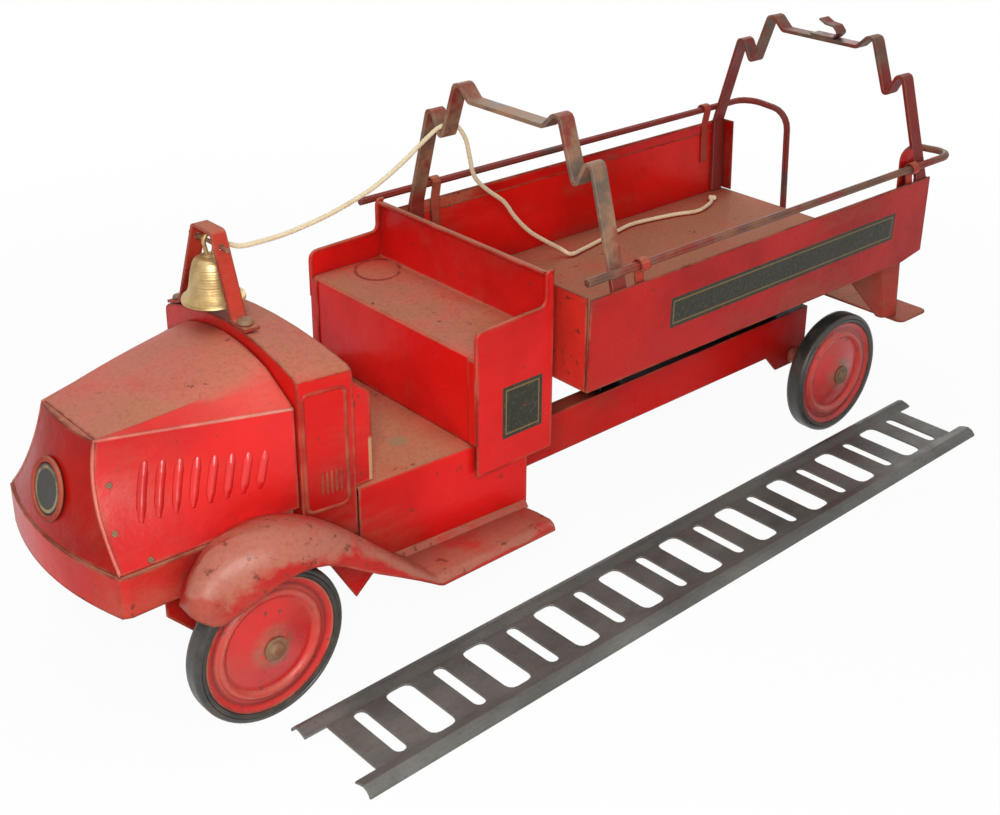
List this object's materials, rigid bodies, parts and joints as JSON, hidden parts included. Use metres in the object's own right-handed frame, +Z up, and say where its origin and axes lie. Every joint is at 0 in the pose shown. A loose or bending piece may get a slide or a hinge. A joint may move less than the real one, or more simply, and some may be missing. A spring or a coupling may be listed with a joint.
{
  "type": "toy fire ladder truck",
  "caption": "Pressed-steel toy fire truck with open bed, strap ladder racks, handrails, swinging bell on a cord, rolling disc wheels and a loose stamped ladder.",
  "frame": {"origin": "bottom centre of the whole object, loose ladder included, on the surface it stands on", "axes": "+X towards the truck's nose, +Y towards the truck's left, +Z up"},
  "size_m": [0.6633, 0.2727, 0.2772],
  "materials": {
    "red_paint": "worn gloss red enamel",
    "worn_steel": "rusty strap and rod with traces of red",
    "ladder_steel": "dull dark grey steel",
    "brass": "tarnished brass",
    "black_paint": "flat black",
    "tyre_rubber": "matt grey-black rubber",
    "rope_cotton": "soft cream cotton"
  },
  "bodies": {
    "truck": {"bed_bolster_front": "black_paint", "bed_bolster_rear": "black_paint", "bed_floor": "red_paint", "bed_front_panel": "red_paint", "bed_side_left": "red_paint", "bed_side_right": "red_paint", "bell_bolt_far": "worn_steel", "bell_bolt_near": "worn_steel", "bell_bracket": "red_paint", "bell_pin": "worn_steel", "bell_rope": "rope_cotton", "cab_base": "red_paint", "cab_bolster": "black_paint", "chassis_frame": "red_paint", "chin_skirt": "red_paint", "cowl": "red_paint", "dash_panel": "red_paint", "door_jamb_left": "red_paint", "door_jamb_right": "red_paint", "fender_bracket_left": "red_paint", "fender_bracket_right": "red_paint", "fender_left": "red_paint", "fender_right": "red_paint", "front_axle": "worn_steel", "handrail_left": "worn_steel", "handrail_right": "worn_steel", "hood_shell": "red_paint", "ladder_rack_front": "worn_steel", "ladder_rack_rear": "worn_steel", "medallion_disc": "black_paint", "medallion_ring": "red_paint", "nose_cross_member": "red_paint", "rack_hook": "worn_steel", "radiator_front": "red_paint", "rail_clip_front_left": "red_paint", "rail_clip_front_right": "red_paint", "rail_clip_rear_left": "red_paint", "rail_clip_rear_right": "red_paint", "rear_axle": "worn_steel", "rear_step": "red_paint", "rope_knot_rear": "rope_cotton", "seat_pan": "red_paint", "seat_side_left": "red_paint", "seat_side_right": "red_paint", "step_hanger_left": "red_paint", "step_hanger_right": "red_paint"},
    "wheel_front_left": {"wheel_disc_front_left": "red_paint", "tyre_front_left": "tyre_rubber"},
    "wheel_front_right": {"wheel_disc_front_right": "red_paint", "tyre_front_right": "tyre_rubber"},
    "wheel_rear_left": {"wheel_disc_rear_left": "red_paint", "tyre_rear_left": "tyre_rubber"},
    "wheel_rear_right": {"wheel_disc_rear_right": "red_paint", "tyre_rear_right": "tyre_rubber"},
    "bell_swing": {"bell": "brass", "clapper_pin": "worn_steel", "rope_knot_front": "rope_cotton"},
    "clapper_swing": {"clapper": "worn_steel"},
    "loose_ladder": {"ladder": "ladder_steel"}
  },
  "joints": [
    {"name": "wheel_front_left_spin", "type": "hinge", "parent": "truck", "child": "wheel_front_left", "pos_m": [0.25595, 0.04836, 0.044], "axis": [0, 1, 0], "continuous": true},
    {"name": "wheel_front_right_spin", "type": "hinge", "parent": "truck", "child": "wheel_front_right", "pos_m": [0.25595, -0.11064, 0.044], "axis": [0, 1, 0], "continuous": true},
    {"name": "wheel_rear_left_spin", "type": "hinge", "parent": "truck", "child": "wheel_rear_left", "pos_m": [-0.21845, 0.04836, 0.044], "axis": [0, 1, 0], "continuous": true},
    {"name": "wheel_rear_right_spin", "type": "hinge", "parent": "truck", "child": "wheel_rear_right", "pos_m": [-0.21845, -0.11064, 0.044], "axis": [0, 1, 0], "continuous": true},
    {"name": "bell_hinge", "type": "hinge", "parent": "truck", "child": "bell_swing", "pos_m": [0.21635, -0.04874, 0.2248], "axis": [0, 1, 0], "range_deg": [-25, 25]},
    {"name": "clapper_hinge", "type": "hinge", "parent": "bell_swing", "child": "clapper_swing", "pos_m": [0.21635, -0.04874, 0.2087], "axis": [0, 1, 0], "range_deg": [-15, 15]},
    {"name": "ladder_draw", "type": "slide", "parent": "truck", "child": "loose_ladder", "axis": [0, 1, 0], "range_m": [0, 0.25]}
  ]
}
